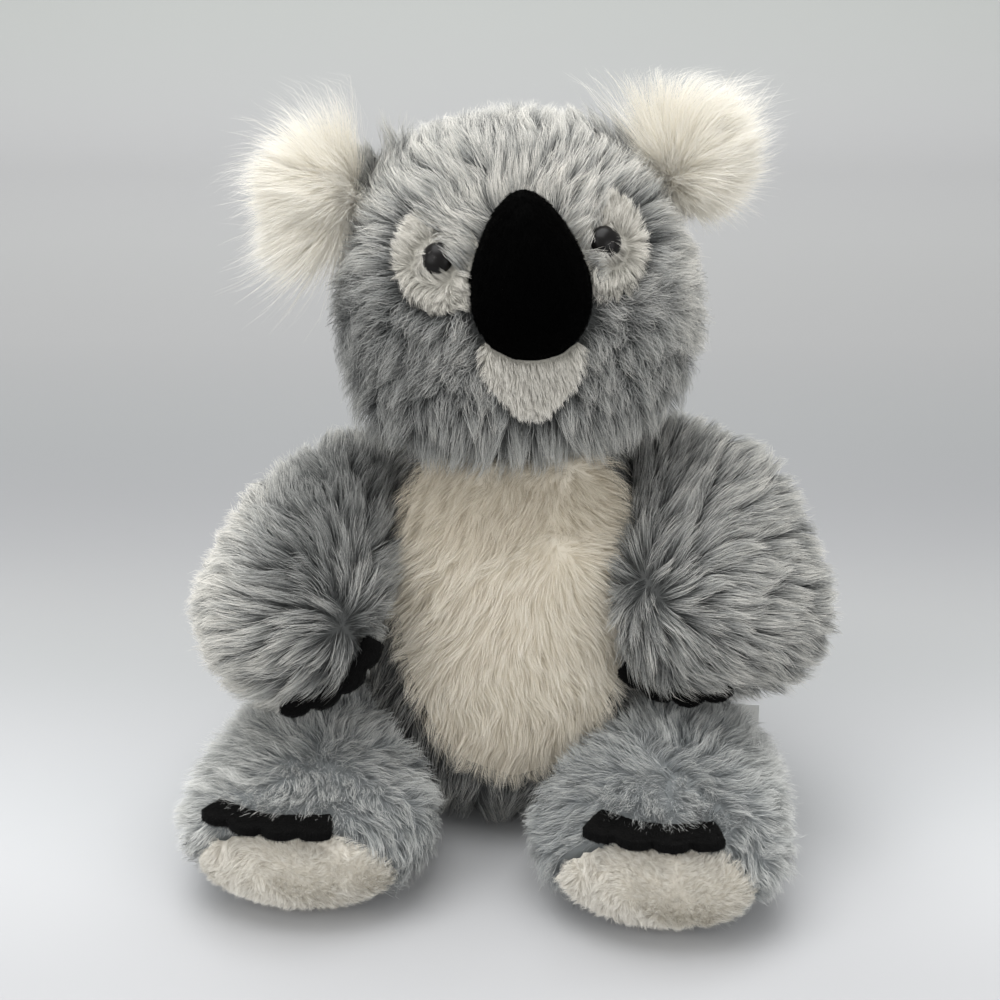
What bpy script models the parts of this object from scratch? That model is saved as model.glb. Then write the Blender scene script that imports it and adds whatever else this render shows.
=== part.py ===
# Seated plush koala: stuffed sewn pieces, felt claws and safety eyes.
# Metres, +Z up, front towards -Y, floor at Z = 0 under the seat. Left and right are the koala's own.

import math

import bmesh
import bpy
from mathutils import Matrix, Vector
from mathutils.bvhtree import BVHTree

# Clearances and cuts
GAP = 0.0003
WELD = 0.00003
SEAT_DEPTH = 0.0005
OVERRUN = 0.030
CUTTER_SIZE = 0.300

# Torso: a pear with two round hips, flat under the seat and at the neck
TORSO_HEIGHT = 0.142
TORSO_HALF_WIDTH = 0.056
TORSO_FRONT = 0.050
TORSO_BACK = 0.052
TORSO_FULLNESS = 2.2
TORSO_SHARES = (
    (0.00, 0.62, 0.52, 0.60),
    (0.05, 0.86, 0.76, 0.82),
    (0.15, 0.98, 0.92, 0.96),
    (0.29, 1.00, 1.00, 1.00),
    (0.43, 0.96, 1.03, 1.00),
    (0.57, 0.89, 1.01, 0.96),
    (0.70, 0.81, 0.95, 0.90),
    (0.83, 0.71, 0.83, 0.80),
    (0.93, 0.59, 0.68, 0.67),
    (1.00, 0.46, 0.50, 0.52),
)
HIP_RADIUS = 0.032
HIP_HALF_HEIGHT = 0.0265
HIP_SIDE = 0.032
HIP_BACK = -0.010

# Belly panel on the torso's front
BELLY_THICKNESS = 0.004
BELLY_BOTTOM = 0.026
BELLY_HEIGHT = 0.110
BELLY_HALF_WIDTH = 0.040
BELLY_SHARES = (
    (0.00, 0.05),
    (0.05, 0.42),
    (0.15, 0.68),
    (0.32, 0.90),
    (0.50, 1.00),
    (0.66, 1.00),
    (0.82, 0.92),
    (0.94, 0.78),
    (1.00, 0.62),
)

# Head, in its own frame about its middle
HEAD_HALF_HEIGHT = 0.051
HEAD_HALF_WIDTH = 0.0575
HEAD_FRONT = 0.050
HEAD_BACK = 0.048
HEAD_FULLNESS = 2.25
HEAD_SHARES = (
    (-1.00, 0.10, 0.10, 0.10),
    (-0.96, 0.46, 0.50, 0.42),
    (-0.86, 0.72, 0.78, 0.66),
    (-0.68, 0.91, 0.95, 0.84),
    (-0.42, 0.99, 1.02, 0.94),
    (-0.16, 1.00, 1.04, 1.00),
    (0.10, 0.97, 1.00, 1.01),
    (0.36, 0.89, 0.90, 0.96),
    (0.60, 0.77, 0.76, 0.84),
    (0.80, 0.61, 0.60, 0.67),
    (0.94, 0.37, 0.37, 0.42),
    (1.00, 0.10, 0.10, 0.12),
)
HEAD_RISE = 0.047
HEAD_FORWARD = 0.005
HEAD_YAW = 3.5
HEAD_PITCH = -10.0
HEAD_ROLL = -4.7

# Nose: a padded egg with its narrow end up
NOSE_HALF_WIDTH = 0.0182
NOSE_HALF_HEIGHT = 0.0262
NOSE_DEPTH = 0.0170
NOSE_ROOT = 0.0070
NOSE_RISE = 0.0050
NOSE_SIDE = 0.0012
NOSE_TAPER_SHARE = 0.30

# Chin patch under the nose
CHIN_HALF_WIDTH = 0.0150
CHIN_HALF_HEIGHT = 0.0190
CHIN_DROP = 0.0195
CHIN_THICKNESS = 0.0030

# Eyes: a domed cap on a shank, with its washer behind the face
EYE_RADIUS = 0.0053
EYE_DOME = 0.0036
EYE_SPREAD = 0.0250
EYE_RISE = 0.0115
SHANK_RADIUS = 0.0017
SHANK_LENGTH = 0.0125
WASHER_RADIUS = 0.0058
WASHER_THICKNESS = 0.0016
WASHER_DEPTH = 0.0060
PATCH_THICKNESS = 0.0015
PATCH_HALF_WIDTH = 0.0130
PATCH_HALF_HEIGHT = 0.0155

# Ears: a grey back and a cream long-pile front, sewn along a line on the head
EAR_SIDE = 0.0430
EAR_RISE = 0.0260
EAR_LEAN = 25.0
EAR_STANDOFF = 0.0045
EAR_REACH = 0.0235
EAR_HALF_SPAN = 0.0168
EAR_HALF_THICKNESS = 0.0030
EAR_GAP = 0.0008
TUFT_HALF_REACH = 0.0150
TUFT_HALF_SPAN = 0.0162
TUFT_OUT = 0.0112
TUFT_DROP = 0.0025
TUFT_DEPTH = 0.0130
TUFT_RELIEF = 0.0045

# Arms
SHOULDER_STANDOFF = 0.0110
SHOULDER_BACK = 0.004
SHOULDER_RADIUS = 0.0215
UPPER_ARM = 0.052
FOREARM = 0.030
ARM_ROOT_RADIUS = 0.0208
UPPER_ARM_RADIUS = 0.0265
ELBOW_RADIUS = 0.0282
PAW_RADIUS = 0.0260
ARM_SWEEP = 40.0
SWEEP_SHARES = (0.0, 0.5, 1.0)

# Legs
THIGH = 0.037
SHIN = 0.046
THIGH_HALF_WIDTH = 0.0300
FOOT_HALF_WIDTH = 0.0415
FOOT_HALF_HEIGHT = 0.0252
FOOT_CAP = 0.0300
SOLE_DEPTH = 0.0110

# Felt claws, one scalloped strip on each paw and foot
FOOT_CLAW_REACH = 0.0085
PAW_CLAW_REACH = 0.0070
CLAW_ROOT = 0.0160
CLAW_THICKNESS = 0.0036
CLAW_COUNT = 4
CLAW_DIP_SHARE = 0.34
PAW_CLAW_LENGTH = 0.036
FOOT_CLAW_LENGTH = 0.041

# Blank sewn-in label on the left leg
LABEL_LENGTH = 0.0170
LABEL_WIDTH = 0.0120
LABEL_THICKNESS = 0.0012
LABEL_RISE = 0.0110
LABEL_FORWARD = 0.0050

# Pose of each side: aims in degrees outward and upward from straight ahead
POSES = {
    "left": {
        "side": 1, "shoulder_rise": 0.113, "upper": (41.9, -41.4), "fore": (-46.5, 18.0),
        "swell": (0.003, 0.009), "thigh": 35.0, "shin": -9.0, "splay": (0.0, 25.0),
        "sole_tilt": 18.0, "claws_aside": 0.0,
    },
    "right": {
        "side": -1, "shoulder_rise": 0.107, "upper": (31.2, -30.3), "fore": (-11.6, 24.0),
        "swell": (0.002, 0.004), "thigh": 58.0, "shin": 5.0, "splay": (-17.0, 10.0),
        "sole_tilt": 25.0, "claws_aside": 0.008,
    },
}
# Claw strips on the paws: the way they point, and the way the strip runs
PAW_CLAW_SHARES = {
    "left": ((-0.18, -0.36, -0.91), (0.95, -0.12, -0.29)),
    "right": ((0.54, -0.60, -0.59), (0.84, 0.20, 0.51)),
}

# Mesh counts
BODY_SIDES = 24
HIP_SIDES = 32
BALL_SIDES = 24
ARM_SIDES = 18
BALL_ROWS = 10
LIMB_SIDES = 18
ROW_STEPS = 1
LIMB_STEPS = 3
CAP_STEPS = 4
CAP_TIP_SHARE = 0.4
SMALL_SIDES = 20
PILLOW_STEPS = 4
CLAW_STEPS = 10


def clear_scene():
    for thing in list(bpy.data.objects):
        bpy.data.objects.remove(thing, do_unlink=True)


def material(name, colour, roughness):
    made = bpy.data.materials.get(name)
    if made:
        return made
    made = bpy.data.materials.new(name)
    made.use_nodes = True
    shader = made.node_tree.nodes["Principled BSDF"]
    shader.inputs["Base Color"].default_value = (*colour, 1)
    shader.inputs["Roughness"].default_value = roughness
    shader.inputs["Metallic"].default_value = 0
    made.diffuse_color = (*colour, 1)
    return made


def grey_fur():
    return material("grey_fur", (0.30, 0.34, 0.36), 0.95)


def cream_fur():
    return material("cream_fur", (0.72, 0.68, 0.60), 0.95)


def white_pile():
    return material("white_pile", (0.78, 0.76, 0.71), 0.95)


def black_velvet():
    return material("black_velvet", (0.006, 0.006, 0.007), 0.90)


def black_felt():
    return material("black_felt", (0.010, 0.010, 0.012), 0.95)


def gloss_black():
    return material("gloss_black", (0.008, 0.008, 0.008), 0.12)


def clear_nylon():
    return material("clear_nylon", (0.80, 0.80, 0.78), 0.45)


def label_satin():
    return material("label_satin", (0.80, 0.79, 0.76), 0.60)


def make_object(name, bm, look=None, parent=None):
    bmesh.ops.recalc_face_normals(bm, faces=bm.faces)
    mesh = bpy.data.meshes.new(name)
    bm.to_mesh(mesh)
    bm.free()
    thing = bpy.data.objects.new(name, mesh)
    bpy.context.scene.collection.objects.link(thing)
    thing.parent = parent
    if look:
        mesh.materials.append(look)
    bpy.context.view_layer.update()
    return thing


def delete(*things):
    for thing in things:
        bpy.data.objects.remove(thing, do_unlink=True)


def copy_of(thing, name, look=None):
    twin = thing.copy()
    twin.data = thing.data.copy()
    twin.name = name
    twin.data.materials.clear()
    if look:
        twin.data.materials.append(look)
    bpy.context.scene.collection.objects.link(twin)
    bpy.context.view_layer.update()
    return twin


def grown(thing, distance):
    twin = copy_of(thing, "grown_form")
    bm = bmesh.new()
    bm.from_mesh(twin.data)
    bm.normal_update()
    moves = [(vertex, vertex.normal * distance) for vertex in bm.verts]
    for vertex, move in moves:
        vertex.co += move
    bm.to_mesh(twin.data)
    bm.free()
    return twin


def triangulated(mesh):
    """Flat triangles only, which a following cut reads without doubt."""
    bm = bmesh.new()
    bm.from_mesh(mesh)
    bmesh.ops.triangulate(bm, faces=bm.faces)
    bm.to_mesh(mesh)
    bm.free()


def combine(target, tool, operation, keep=False):
    """Applies the cut or joint at once; the second solver serves where the first gives nothing."""
    triangulated(target.data)
    triangulated(tool.data)
    step = target.modifiers.new(operation.lower(), "BOOLEAN")
    step.operation = operation
    step.object = tool
    for solver in ("EXACT", "MANIFOLD"):
        step.solver = solver
        bpy.context.view_layer.update()
        seen = target.evaluated_get(bpy.context.evaluated_depsgraph_get())
        mesh = bpy.data.meshes.new_from_object(seen)
        if len(mesh.vertices) > 0:
            break
    target.modifiers.clear()
    target.data = mesh
    if not keep:
        delete(tool)
    bpy.context.view_layer.update()


def cut(target, tool, keep=False):
    combine(target, tool, "DIFFERENCE", keep)


def hand_over(thing, parent):
    """Keeps the piece where it is, with its origin on its parent's."""
    thing.data.transform(parent.matrix_world.inverted() @ thing.matrix_world)
    thing.parent = parent
    thing.matrix_basis = Matrix.Identity(4)
    bpy.context.view_layer.update()


def finish(thing, look, flat_over=40):
    thing.data.materials.clear()
    thing.data.materials.append(look)
    thing.data.shade_smooth()
    thing.data.set_sharp_from_angle(angle=math.radians(flat_over))


def empty(name, place, parent=None, turn=(0, 0, 0), order="XYZ"):
    pivot = bpy.data.objects.new(name, None)
    bpy.context.scene.collection.objects.link(pivot)
    pivot.parent = parent
    pivot.location = place
    pivot.rotation_mode = order
    pivot.rotation_euler = [math.radians(angle) for angle in turn]
    bpy.context.view_layer.update()
    return pivot


def smooth_rows(rows, steps):
    """Rows of numbers with smooth ones filled in between them."""
    padded = [rows[0], *rows, rows[-1]]
    filled = []
    for four in zip(padded, padded[1:], padded[2:], padded[3:]):
        for step in range(steps):
            t = step / steps
            filled.append(tuple(
                q + 0.5 * t * (r - p + t * (2 * p - 5 * q + 4 * r - s + t * (3 * (q - r) + s - p)))
                for p, q, r, s in zip(*four)
            ))
    filled.append(tuple(rows[-1]))
    return filled


def rings_to_mesh(rings):
    """A closed skin over a stack of rings, each end closed by a fan."""
    bm = bmesh.new()
    loops = [[bm.verts.new(point) for point in ring] for ring in rings]
    count = len(loops[0])
    for low, high in zip(loops, loops[1:]):
        for i in range(count):
            j = (i + 1) % count
            bm.faces.new((low[i], low[j], high[j], high[i]))
    for loop in (loops[0], loops[-1]):
        middle = bm.verts.new(sum((v.co for v in loop), Vector()) / count)
        for i in range(count):
            bm.faces.new((loop[i], loop[(i + 1) % count], middle))
    return bm


def rounded(value, fullness):
    return math.copysign(abs(value) ** (2 / fullness), value)


def trunk_form(shares, bottom, height, half_width, front, back, fullness):
    """A stuffed form from level rings, deeper in front or behind as its shares say."""
    rings = []
    for rise, width, front_share, back_share in smooth_rows(shares, ROW_STEPS):
        ring = []
        for i in range(BODY_SIDES):
            angle = math.tau * i / BODY_SIDES
            across = rounded(math.cos(angle), fullness)
            along = rounded(math.sin(angle), fullness)
            depth = back * back_share if along > 0 else front * front_share
            ring.append(Vector((half_width * width * across, depth * along, bottom + height * rise)))
        rings.append(ring)
    return rings_to_mesh(rings)


def cross_ring(centre, heading, half_width, half_height, sides):
    side = heading.cross(Vector((0, 0, 1))).normalized()
    up = side.cross(heading)
    ring = []
    for i in range(sides):
        angle = math.tau * i / sides
        ring.append(centre + side * (half_width * math.cos(angle)) + up * (half_height * math.sin(angle)))
    return ring


def limb_form(stations, root_cap, end_cap):
    """A stuffed tube through stations of centre, half width and half height, with round ends."""
    rows = smooth_rows([(*centre, width, height) for centre, width, height in stations], LIMB_STEPS)
    centres = [Vector(row[:3]) for row in rows]
    rings = []
    for i, row in enumerate(rows):
        before = centres[max(i - 1, 0)]
        after = centres[min(i + 1, len(rows) - 1)]
        heading = (after - before).normalized()
        if i == 0:
            rings += end_rings(centres[0], -heading, heading, row[3], row[4], root_cap)[::-1]
        rings.append(cross_ring(centres[i], heading, row[3], row[4], LIMB_SIDES))
        if i == len(rows) - 1:
            rings += end_rings(centres[-1], heading, heading, row[3], row[4], end_cap)
    return rings_to_mesh(rings)


def end_rings(centre, outward, heading, half_width, half_height, cap):
    rings = []
    for step in range(1, CAP_STEPS):
        angle = math.pi / 2 * step / CAP_STEPS
        place = centre + outward * (cap * math.sin(angle))
        shrink = math.cos(angle)
        rings.append(cross_ring(place, heading, half_width * shrink, half_height * shrink, LIMB_SIDES))
    last = centre + outward * cap
    shrink = math.cos(math.pi / 2 * (CAP_STEPS - CAP_TIP_SHARE) / CAP_STEPS)
    rings.append(cross_ring(last, heading, half_width * shrink, half_height * shrink, LIMB_SIDES))
    return rings


def pillow_form(outline, front, back):
    """A padded form inside a flat outline in X and Z, crowned towards -Y and +Y."""
    middle = sum(outline, Vector()) / len(outline)
    rings = []
    for step in range(-PILLOW_STEPS + 1, PILLOW_STEPS):
        angle = math.pi / 2 * step / PILLOW_STEPS
        depth = front if step < 0 else back
        lift = Vector((0, depth * math.sin(angle), 0))
        rings.append([middle + (point - middle) * math.cos(angle) + lift for point in outline])
    bm = rings_to_mesh(rings)
    bm.verts.ensure_lookup_table()
    bm.verts[-2].co = middle + Vector((0, -front, 0))
    bm.verts[-1].co = middle + Vector((0, back, 0))
    return bm


def prism(outline, start, end, parent=None):
    """A cutter: an outline in X and Z pushed along Y."""
    rings = [[point + Vector((0, place, 0)) for point in outline] for place in (start, end)]
    return make_object("prism", rings_to_mesh(rings), parent=parent)


def oval(half_width, half_height, rise=0, side=0, taper=0, count=SMALL_SIDES):
    points = []
    for i in range(count):
        angle = math.tau * i / count
        up = math.sin(angle)
        across = half_width * math.cos(angle) * (1 - taper * up)
        points.append(Vector((side + across, 0, rise + half_height * up)))
    return points


def half_space(point, normal):
    """A large block that fills the side of a plane that its normal points to."""
    bm = bmesh.new()
    bmesh.ops.create_cube(bm, size=CUTTER_SIZE)
    turn = Vector((0, 0, 1)).rotation_difference(normal).to_matrix().to_4x4()
    shift = Matrix.Translation(Vector((0, 0, CUTTER_SIZE / 2)))
    bmesh.ops.transform(bm, matrix=Matrix.Translation(point) @ turn @ shift, verts=bm.verts)
    return make_object("half_space", bm)


def flatten_at_floor(thing):
    cut(thing, half_space(Vector((0, 0, 0)), Vector((0, 0, -1))))


def add_spheroid(bm, centre, radius, half_height, sides):
    size = Matrix.Diagonal((radius, radius, half_height, 1))
    bmesh.ops.create_uvsphere(
        bm, u_segments=sides, v_segments=BALL_ROWS, radius=1,
        matrix=Matrix.Translation(centre) @ size,
    )


def spheroid(centre, radius, half_height, sides):
    bm = bmesh.new()
    add_spheroid(bm, centre, radius, half_height, sides)
    return make_object("spheroid", bm)


def hip_form(side, clearance):
    return spheroid(hip_place(side), HIP_RADIUS + clearance, HIP_HALF_HEIGHT + clearance, HIP_SIDES)


def hull_over(name, bm):
    """The tight skin over all the points."""
    hull = bmesh.ops.convex_hull(bm, input=bm.verts)
    spare = {*hull["geom_interior"], *hull["geom_unused"]}
    inner = [item for item in spare if isinstance(item, bmesh.types.BMVert)]
    bmesh.ops.delete(bm, geom=inner, context="VERTS")
    skin = set(hull["geom"])
    covered = [face for face in bm.faces if face not in skin]
    bmesh.ops.delete(bm, geom=covered, context="FACES")
    return make_object(name, bm)


def turned(profile, sides=SMALL_SIDES):
    """A closed profile of radius and height, spun about Z."""
    bm = bmesh.new()
    points = [bm.verts.new((radius, 0, height)) for radius, height in profile]
    edges = [bm.edges.new(pair) for pair in zip(points, points[1:])]
    if profile[0][0] > 0:
        edges.append(bm.edges.new((points[-1], points[0])))
    bmesh.ops.spin(
        bm, geom=points + edges, cent=(0, 0, 0), axis=(0, 0, 1),
        angle=math.tau, steps=sides, use_merge=True,
    )
    bmesh.ops.remove_doubles(bm, verts=bm.verts, dist=WELD)
    return bm


def swept_room(body, pivot, angles):
    """The room that a body takes as it turns about an upright pivot, with the gap round it."""
    bm = bmesh.new()
    there = Matrix.Translation(pivot)
    for angle in angles:
        turn = there @ Matrix.Rotation(math.radians(angle), 4, "Z") @ there.inverted()
        for vertex in body.data.vertices:
            bm.verts.new(turn @ vertex.co)
    tight = hull_over("tight_room", bm)
    room = grown(tight, GAP)
    delete(tight)
    return room


def aim(side, outward, upward):
    """A direction by its angles outward and upward from straight ahead."""
    level = math.cos(math.radians(upward))
    return Vector((
        side * math.sin(math.radians(outward)) * level,
        -math.cos(math.radians(outward)) * level,
        math.sin(math.radians(upward)),
    ))


def torso_half_width(rise):
    """The torso's half width at a height, read from its own shares."""
    rows = smooth_rows(TORSO_SHARES, ROW_STEPS)
    for low, high in zip(rows, rows[1:]):
        if low[0] * TORSO_HEIGHT <= rise <= high[0] * TORSO_HEIGHT:
            part = (rise / TORSO_HEIGHT - low[0]) / (high[0] - low[0])
            return TORSO_HALF_WIDTH * (low[1] + part * (high[1] - low[1]))
    return TORSO_HALF_WIDTH


def hip_place(side):
    return Vector((side * HIP_SIDE, HIP_BACK, FOOT_HALF_HEIGHT - SEAT_DEPTH))


def shoulder_place(pose):
    out = torso_half_width(pose["shoulder_rise"]) + SHOULDER_STANDOFF
    return Vector((pose["side"] * out, SHOULDER_BACK, pose["shoulder_rise"]))


def torso_pear():
    bottom = -SEAT_DEPTH
    bm = trunk_form(
        TORSO_SHARES, bottom, TORSO_HEIGHT - bottom,
        TORSO_HALF_WIDTH, TORSO_FRONT, TORSO_BACK, TORSO_FULLNESS,
    )
    return make_object("pear", bm)


def torso_skin(pear):
    """The torso's whole stuffed form, before its sockets."""
    skin = copy_of(pear, "skin")
    for side in (-1, 1):
        combine(skin, hip_form(side, 0), "UNION")
    flatten_at_floor(skin)
    return skin


def belly_outline():
    shares = smooth_rows(BELLY_SHARES, ROW_STEPS)
    rows = [(BELLY_BOTTOM + rise * BELLY_HEIGHT, width * BELLY_HALF_WIDTH) for rise, width in shares]
    right = [Vector((width, 0, rise)) for rise, width in rows]
    left = [Vector((-width, 0, rise)) for rise, width in reversed(rows)]
    return right + left


def make_belly(pear, skin):
    """The belly panel, and the pear with the panel on it, for cutting the limbs."""
    panel = grown(pear, BELLY_THICKNESS)
    panel.name = "belly_panel"
    combine(panel, prism(belly_outline(), -TORSO_FRONT - OVERRUN, 0), "INTERSECT")
    cut(panel, half_space(Vector((0, 0, TORSO_HEIGHT)), Vector((0, 0, 1))))
    dressed = copy_of(pear, "dressed_pear")
    combine(dressed, panel, "UNION", keep=True)
    cut(panel, grown(skin, GAP))
    return panel, dressed


def shoulder_ball(pose, clearance):
    radius = SHOULDER_RADIUS + clearance
    return spheroid(shoulder_place(pose), radius, radius, BALL_SIDES)


def make_arm(name, pose, dressed, leg_room):
    side = pose["side"]
    shoulder = shoulder_place(pose)
    elbow = shoulder + aim(side, *pose["upper"]) * UPPER_ARM
    paw = elbow + aim(side, *pose["fore"]) * FOREARM
    outward, upward = pose["swell"]
    middle = (shoulder + elbow) / 2 + Vector((side * outward, 0, upward))
    rounds = (
        (shoulder, ARM_ROOT_RADIUS),
        (middle, UPPER_ARM_RADIUS),
        (elbow, ELBOW_RADIUS),
        (paw, PAW_RADIUS),
    )
    bm = bmesh.new()
    for centre, radius in rounds:
        add_spheroid(bm, centre, radius, radius, ARM_SIDES)
    arm = hull_over(name, bm)
    angles = [-side * ARM_SWEEP * share for share in SWEEP_SHARES]
    cut(arm, swept_room(dressed, shoulder, angles))
    cut(arm, leg_room, keep=True)
    combine(arm, shoulder_ball(pose, 0), "UNION")
    return arm, shoulder, paw


def splay_angles(pose):
    inward, outward = pose["splay"]
    return [pose["side"] * (inward + (outward - inward) * share) for share in SWEEP_SHARES]


def make_leg(name, pose, dressed):
    """The leg and its sole, which meet in a slanting plane near the end."""
    side = pose["side"]
    hip = hip_place(side)
    knee = hip + aim(side, pose["thigh"], 0) * THIGH
    heading = aim(side, pose["shin"], 0)
    foot = knee + heading * SHIN
    stations = [
        (hip, THIGH_HALF_WIDTH, FOOT_HALF_HEIGHT),
        (knee, (THIGH_HALF_WIDTH + FOOT_HALF_WIDTH) / 2, FOOT_HALF_HEIGHT),
        (foot, FOOT_HALF_WIDTH, FOOT_HALF_HEIGHT),
    ]
    leg = make_object(name, limb_form(stations, THIGH_HALF_WIDTH, FOOT_CAP))
    flatten_at_floor(leg)
    angles = splay_angles(pose)
    cut(leg, swept_room(dressed, hip, [-angle for angle in angles]))
    cut(leg, hip_form(side, GAP))
    tilt = math.radians(pose["sole_tilt"])
    normal = heading * math.cos(tilt) + Vector((0, 0, -math.sin(tilt)))
    seam = foot + heading * (FOOT_CAP - SOLE_DEPTH)
    sole = copy_of(leg, name.replace("leg", "sole"))
    combine(sole, half_space(seam + normal * GAP, normal), "INTERSECT")
    cut(leg, half_space(seam, normal))
    return leg, sole, hip, heading, foot


def claw_strip(name, place, outward, along, length, bend, reach_out):
    """A strip of felt with round claws along its free edge, bent round the limb."""
    up = along.cross(outward).normalized()
    along = outward.cross(up).normalized()
    free, root = [], []
    count = CLAW_COUNT * CLAW_STEPS
    for i in range(count + 1):
        share = i / count
        lobe = abs(math.sin(math.pi * CLAW_COUNT * share))
        reach = reach_out * (1 - CLAW_DIP_SHARE + CLAW_DIP_SHARE * lobe ** (1 / 2))
        if i in (0, count):
            reach = 0
        run = length * (share - 1 / 2)
        free.append((run, reach))
        root.append((run, -CLAW_ROOT))
    outline = free + root[::CLAW_STEPS][::-1]
    bm = bmesh.new()
    layers = []
    for lift in (-CLAW_THICKNESS / 2, CLAW_THICKNESS / 2):
        layer = []
        for run, reach in outline:
            angle = run / bend
            flat = (bend + reach) * math.sin(angle), (bend + reach) * math.cos(angle) - bend
            layer.append(bm.verts.new(place + along * flat[0] + outward * flat[1] + up * lift))
        layers.append(layer)
    bm.faces.new(layers[0])
    bm.faces.new(layers[1][::-1])
    total = len(outline)
    for i in range(total):
        j = (i + 1) % total
        bm.faces.new((layers[0][i], layers[0][j], layers[1][j], layers[1][i]))
    bmesh.ops.triangulate(bm, faces=[face for face in bm.faces if len(face.verts) > 4])
    return make_object(name, bm)


def make_paw_claws(name, side_name, arm, paw, leg_room):
    direction, run = (Vector(shares).normalized() for shares in PAW_CLAW_SHARES[side_name])
    place = paw + direction * PAW_RADIUS
    strip = claw_strip(name, place, direction, run, PAW_CLAW_LENGTH, PAW_RADIUS, PAW_CLAW_REACH)
    cut(strip, grown(arm, GAP))
    cut(strip, leg_room)
    return strip


def make_foot_claws(name, pose, leg, sole, heading, foot):
    """The strip lies along the top of the sole's seam, and can sit to one side of its middle."""
    rise = seam_top(math.radians(pose["sole_tilt"]))
    reach = FOOT_CAP * math.sqrt(1 - (rise / FOOT_HALF_HEIGHT) ** 2)
    aside = Matrix.Rotation(pose["side"] * pose["claws_aside"] / FOOT_HALF_WIDTH, 3, "Z")
    outward = aside @ heading
    middle = foot + heading * (reach - FOOT_HALF_WIDTH)
    place = middle + outward * FOOT_HALF_WIDTH + Vector((0, 0, rise + CLAW_THICKNESS / 2))
    along = outward.cross(Vector((0, 0, 1)))
    strip = claw_strip(
        name, place, outward, along, FOOT_CLAW_LENGTH, FOOT_HALF_WIDTH, FOOT_CLAW_REACH,
    )
    for body in (leg, sole):
        cut(strip, grown(body, GAP))
    return strip


def seam_top(tilt):
    """The height over the foot's middle at which the sole's seam meets the foot's round end."""
    slope = math.tan(tilt)
    low, high = 0, FOOT_HALF_HEIGHT
    for _ in range(CLAW_STEPS * 2):
        middle = (low + high) / 2
        end = FOOT_CAP * math.sqrt(1 - (middle / FOOT_HALF_HEIGHT) ** 2)
        if end > FOOT_CAP - SOLE_DEPTH + middle * slope:
            low = middle
        else:
            high = middle
    return low


def make_label(leg, hip, heading):
    """A blank folded ribbon held by the left leg's outer seam."""
    out = Vector((0, 0, 1)).cross(heading)
    start = hip + heading * LABEL_FORWARD + Vector((0, 0, LABEL_RISE))
    tree = BVHTree.FromObject(leg, bpy.context.evaluated_depsgraph_get())
    far = start + out * (FOOT_HALF_WIDTH + OVERRUN)
    hit = tree.ray_cast(leg.matrix_world.inverted() @ far, -out)[0]
    bm = bmesh.new()
    bmesh.ops.create_cube(bm, size=1)
    size = Matrix.Diagonal((LABEL_WIDTH, LABEL_LENGTH, LABEL_THICKNESS, 1))
    turn = Matrix((heading, out, Vector((0, 0, 1)))).transposed().to_4x4()
    bmesh.ops.transform(bm, matrix=Matrix.Translation(hit) @ turn @ size, verts=bm.verts)
    label = make_object("side_label", bm)
    cut(label, grown(leg, GAP))
    return label


def make_head(frame):
    bm = trunk_form(
        HEAD_SHARES, 0, HEAD_HALF_HEIGHT, HEAD_HALF_WIDTH, HEAD_FRONT, HEAD_BACK, HEAD_FULLNESS,
    )
    return make_object("head", bm, parent=frame)


def shell_patch(name, form, outline, thickness, frame):
    """A thin pad that follows the form under an outline seen from the front."""
    patch = grown(form, thickness)
    patch.name = name
    combine(patch, prism(outline, -HEAD_FRONT - OVERRUN, 0, frame), "INTERSECT")
    cut(patch, grown(form, GAP))
    return patch


def make_nose(form, frame):
    outline = oval(NOSE_HALF_WIDTH, NOSE_HALF_HEIGHT, taper=NOSE_TAPER_SHARE)
    bm = pillow_form(outline, NOSE_DEPTH, NOSE_ROOT)
    place = Vector((NOSE_SIDE, -HEAD_FRONT, NOSE_RISE))
    bmesh.ops.translate(bm, vec=place, verts=bm.verts)
    nose = make_object("nose", bm, parent=frame)
    cut(nose, grown(form, GAP))
    return nose


def eye_seat(form, side):
    """Where the face lies under the eye, and the way it looks there, in the head's frame."""
    tree = BVHTree.FromObject(form, bpy.context.evaluated_depsgraph_get())
    start = Vector((side * EYE_SPREAD, -HEAD_FRONT - OVERRUN, EYE_RISE))
    place, normal = tree.ray_cast(start, Vector((0, 1, 0)))[:2]
    turn = Vector((0, 0, 1)).rotation_difference(normal).to_matrix().to_4x4()
    return Matrix.Translation(place) @ turn


def turned_at(name, profile, seat, frame):
    bm = turned(profile)
    bmesh.ops.transform(bm, matrix=seat, verts=bm.verts)
    return make_object(name, bm, parent=frame)


def eye_profile():
    base = PATCH_THICKNESS + 2 * GAP
    dome = []
    for step in range(PILLOW_STEPS * 2):
        angle = math.pi / 2 * step / (PILLOW_STEPS * 2)
        dome.append((EYE_RADIUS * math.cos(angle), base + EYE_DOME * math.sin(angle)))
    shank = [(0, base - SHANK_LENGTH), (SHANK_RADIUS, base - SHANK_LENGTH), (SHANK_RADIUS, base)]
    return shank + dome + [(0, base + EYE_DOME)]


def washer_profile():
    low, high = -WASHER_DEPTH - WASHER_THICKNESS / 2, -WASHER_DEPTH + WASHER_THICKNESS / 2
    hole = SHANK_RADIUS + GAP
    return [(hole, low), (WASHER_RADIUS, low), (WASHER_RADIUS, high), (hole, high)]


def pocket_profile():
    """The way in for the shank, with room round the washer behind the face."""
    low, high = -WASHER_DEPTH - WASHER_THICKNESS / 2 - GAP, -WASHER_DEPTH + WASHER_THICKNESS / 2 + GAP
    end = PATCH_THICKNESS - SHANK_LENGTH - GAP
    hole = SHANK_RADIUS + GAP
    wide = WASHER_RADIUS + GAP
    top = PATCH_THICKNESS + OVERRUN
    way_in = [(0, end), (hole, end), (hole, low)]
    room = [(wide, low), (wide, high)]
    return way_in + room + [(hole, high), (hole, top), (0, top)]


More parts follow.
